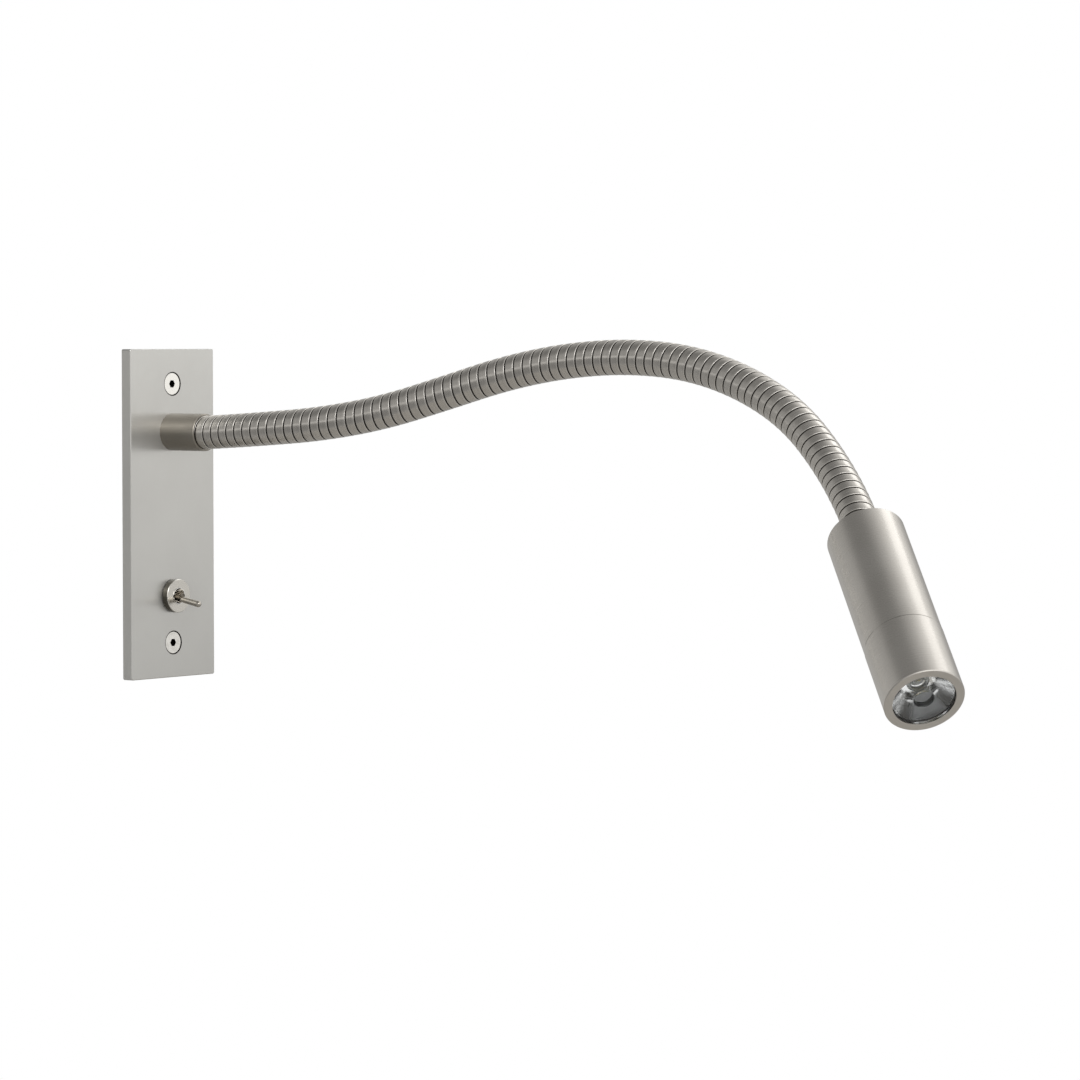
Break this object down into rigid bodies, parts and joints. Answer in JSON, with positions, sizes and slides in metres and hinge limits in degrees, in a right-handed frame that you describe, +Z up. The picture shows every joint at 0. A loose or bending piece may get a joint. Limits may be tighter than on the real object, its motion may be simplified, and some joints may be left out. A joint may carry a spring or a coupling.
{
  "type": "wall lamp",
  "caption": "Gooseneck wall sconce: slim upright plate with a toggle switch, a bendable strip-wound neck and a cylindrical spot head with a lens.",
  "frame": {"origin": "centre of the wall plate's back face, which lies on the wall", "axes": "+X across the plate to the right seen from the room, +Y into the wall, +Z up"},
  "size_m": [0.0969, 0.4509, 0.1413],
  "materials": {
    "nickel_plate": "fine vertical brushing, satin",
    "screw_steel": "polished",
    "nickel_collar": "satin turned",
    "hose_nickel": "satin, strip-wound",
    "nickel_head": "satin turned, nickel tone",
    "zinc": "zinc plated",
    "brass": "turned",
    "switch_chrome": "bright plated",
    "switch_plastic": "moulded",
    "terminal_silver": "silver plated",
    "plunger_plastic": "moulded",
    "spring_steel": "drawn wire",
    "driver_plastic": "moulded",
    "board_green": "solder mask",
    "transformer_tape": "wound and taped",
    "capacitor_can": "sleeved can",
    "terminal_plastic": "moulded",
    "lead_black": "soft sheath",
    "core_steel": "wound wire",
    "grommet_rubber": "moulded",
    "sink_aluminium": "turned",
    "pad_grey": "soft pad",
    "led_board_white": "white solder mask",
    "phosphor": "phosphor under a clear dome",
    "holder_black": "moulded",
    "lens_clear": "clear, polished",
    "seal_black": "moulded"
  },
  "bodies": {
    "wall_unit": {"wall_plate": "nickel_plate", "fixing_screws": "screw_steel", "neck_collar": "nickel_collar", "root_nipple": "zinc", "nipple_lock_washer": "zinc", "nipple_nut": "zinc", "lead_grommet": "grommet_rubber", "earth_tag": "brass", "earth_screw": "brass", "switch_washer": "switch_chrome", "switch_dress_nut": "switch_chrome", "switch_bush": "switch_chrome", "switch_lock_nut": "switch_chrome", "switch_case": "switch_plastic", "switch_terminals": "terminal_silver", "toggle_pivot_pin": "switch_chrome", "driver_case": "driver_plastic", "driver_lid": "driver_plastic", "driver_screws": "zinc", "driver_board": "board_green", "driver_transformer": "transformer_tape", "driver_capacitor": "capacitor_can", "mains_terminal": "terminal_plastic", "switch_lead": "lead_black", "lamp_lead": "lead_black", "neck_core": "core_steel", "neck_hose_00": "hose_nickel"},
    "neck_link_01": {"neck_hose_01": "hose_nickel"},
    "neck_link_02": {"neck_hose_02": "hose_nickel"},
    "neck_link_03": {"neck_hose_03": "hose_nickel"},
    "neck_link_04": {"neck_hose_04": "hose_nickel"},
    "neck_link_05": {"neck_hose_05": "hose_nickel"},
    "neck_link_06": {"neck_hose_06": "hose_nickel"},
    "neck_link_07": {"neck_hose_07": "hose_nickel"},
    "neck_link_08": {"neck_hose_08": "hose_nickel"},
    "neck_link_09": {"neck_hose_09": "hose_nickel"},
    "neck_link_10": {"neck_hose_10": "hose_nickel"},
    "neck_link_11": {"neck_hose_11": "hose_nickel"},
    "neck_link_12": {"neck_hose_12": "hose_nickel"},
    "lamp_head": {"neck_hose_13": "hose_nickel", "head_body": "nickel_head", "head_bezel": "nickel_head", "head_nipple": "zinc", "head_nut": "zinc", "heat_sink": "sink_aluminium", "thermal_pad": "pad_grey", "led_board": "led_board_white", "led_emitter": "phosphor", "board_screws": "zinc", "lens_holder": "holder_black", "lens": "lens_clear", "lens_seal": "seal_black"},
    "toggle": {"toggle_lever": "switch_chrome", "toggle_plunger": "plunger_plastic", "toggle_spring": "spring_steel"},
    "rocker": {"switch_rocker": "terminal_silver"}
  },
  "joints": [
    {"name": "neck_pitch_01", "type": "hinge", "parent": "wall_unit", "child": "neck_link_01", "pos_m": [0, -0.02559, 0.034], "axis": [-0.9999, -0.0131, 0], "range_deg": [-27.5, 20.5], "deforming": ["neck_core", "lamp_lead"]},
    {"name": "neck_yaw_02", "type": "hinge", "parent": "neck_link_01", "child": "neck_link_02", "pos_m": [0.00076, -0.05479, 0.03579], "axis": [-0.0055, 0.0696, 0.9976], "range_deg": [-30, 18], "deforming": ["neck_core", "lamp_lead"]},
    {"name": "neck_pitch_03", "type": "hinge", "parent": "neck_link_02", "child": "neck_link_03", "pos_m": [0.00457, -0.08371, 0.03808], "axis": [-0.9856, -0.1691, 0], "range_deg": [-28.6, 18.6], "deforming": ["neck_core", "lamp_lead"]},
    {"name": "neck_yaw_04", "type": "hinge", "parent": "neck_link_03", "child": "neck_link_04", "pos_m": [0.01057, -0.11193, 0.04291], "axis": [-0.0477, 0.2155, 0.9753], "range_deg": [-24.1, 22.2], "deforming": ["neck_core", "lamp_lead"]},
    {"name": "neck_pitch_05", "type": "hinge", "parent": "neck_link_04", "child": "neck_link_05", "pos_m": [0.0169, -0.13934, 0.05098], "axis": [-0.9772, -0.2122, 0], "range_deg": [-24.5, 23.5], "deforming": ["neck_core", "lamp_lead"]},
    {"name": "neck_yaw_06", "type": "hinge", "parent": "neck_link_05", "child": "neck_link_06", "pos_m": [0.02249, -0.16683, 0.05929], "axis": [-0.0387, 0.226, 0.9734], "range_deg": [-19.8, 26.6], "deforming": ["neck_core", "lamp_lead"]},
    {"name": "neck_pitch_07", "type": "hinge", "parent": "neck_link_06", "child": "neck_link_07", "pos_m": [0.0265, -0.19537, 0.06437], "axis": [-0.9941, -0.1087, 0], "range_deg": [-16.8, 30.8], "deforming": ["neck_core", "lamp_lead"]},
    {"name": "neck_yaw_08", "type": "hinge", "parent": "neck_link_07", "child": "neck_link_08", "pos_m": [0.0288, -0.2245, 0.0659], "axis": [0.0008, -0.0174, 0.9998], "range_deg": [-18.7, 26.7], "deforming": ["neck_core", "lamp_lead"]},
    {"name": "neck_pitch_09", "type": "hinge", "parent": "neck_link_08", "child": "neck_link_09", "pos_m": [0.02905, -0.25364, 0.06335], "axis": [-0.9994, 0.0342, 0], "range_deg": [-13, 34], "deforming": ["neck_core", "lamp_lead"]},
    {"name": "neck_yaw_10", "type": "hinge", "parent": "neck_link_09", "child": "neck_link_10", "pos_m": [0.02684, -0.28175, 0.05553], "axis": [-0.0471, -0.3393, 0.9395], "range_deg": [-15.8, 28.9], "deforming": ["neck_core", "lamp_lead"]},
    {"name": "neck_pitch_11", "type": "hinge", "parent": "neck_link_10", "child": "neck_link_11", "pos_m": [0.02153, -0.30784, 0.0434], "axis": [-0.96, 0.2799, 0], "range_deg": [-12.5, 32.5], "deforming": ["neck_core", "lamp_lead"]},
    {"name": "neck_yaw_12", "type": "hinge", "parent": "neck_link_11", "child": "neck_link_12", "pos_m": [0.01269, -0.33028, 0.02682], "axis": [-0.2563, -0.5148, 0.8181], "range_deg": [-15.8, 32.2], "deforming": ["neck_core", "lamp_lead"]},
    {"name": "neck_pitch_13", "type": "hinge", "parent": "neck_link_12", "child": "lamp_head", "pos_m": [0.00024, -0.35059, 0.00983], "axis": [-0.8248, 0.5654, 0], "range_deg": [-20, 27.1], "deforming": ["neck_core", "lamp_lead"]},
    {"name": "toggle_tip", "type": "hinge", "parent": "wall_unit", "child": "toggle", "pos_m": [0, -0.0022, -0.0344], "axis": [-1, 0, 0], "range_deg": [0, 20]},
    {"name": "rocker_tip", "type": "hinge", "parent": "wall_unit", "child": "rocker", "pos_m": [0, 0.0057, -0.0344], "axis": [1, 0, 0], "range_deg": [0, 20]}
  ],
  "couplings": [
    {"joint": "rocker_tip", "follows": "toggle_tip", "ratio": 1}
  ]
}
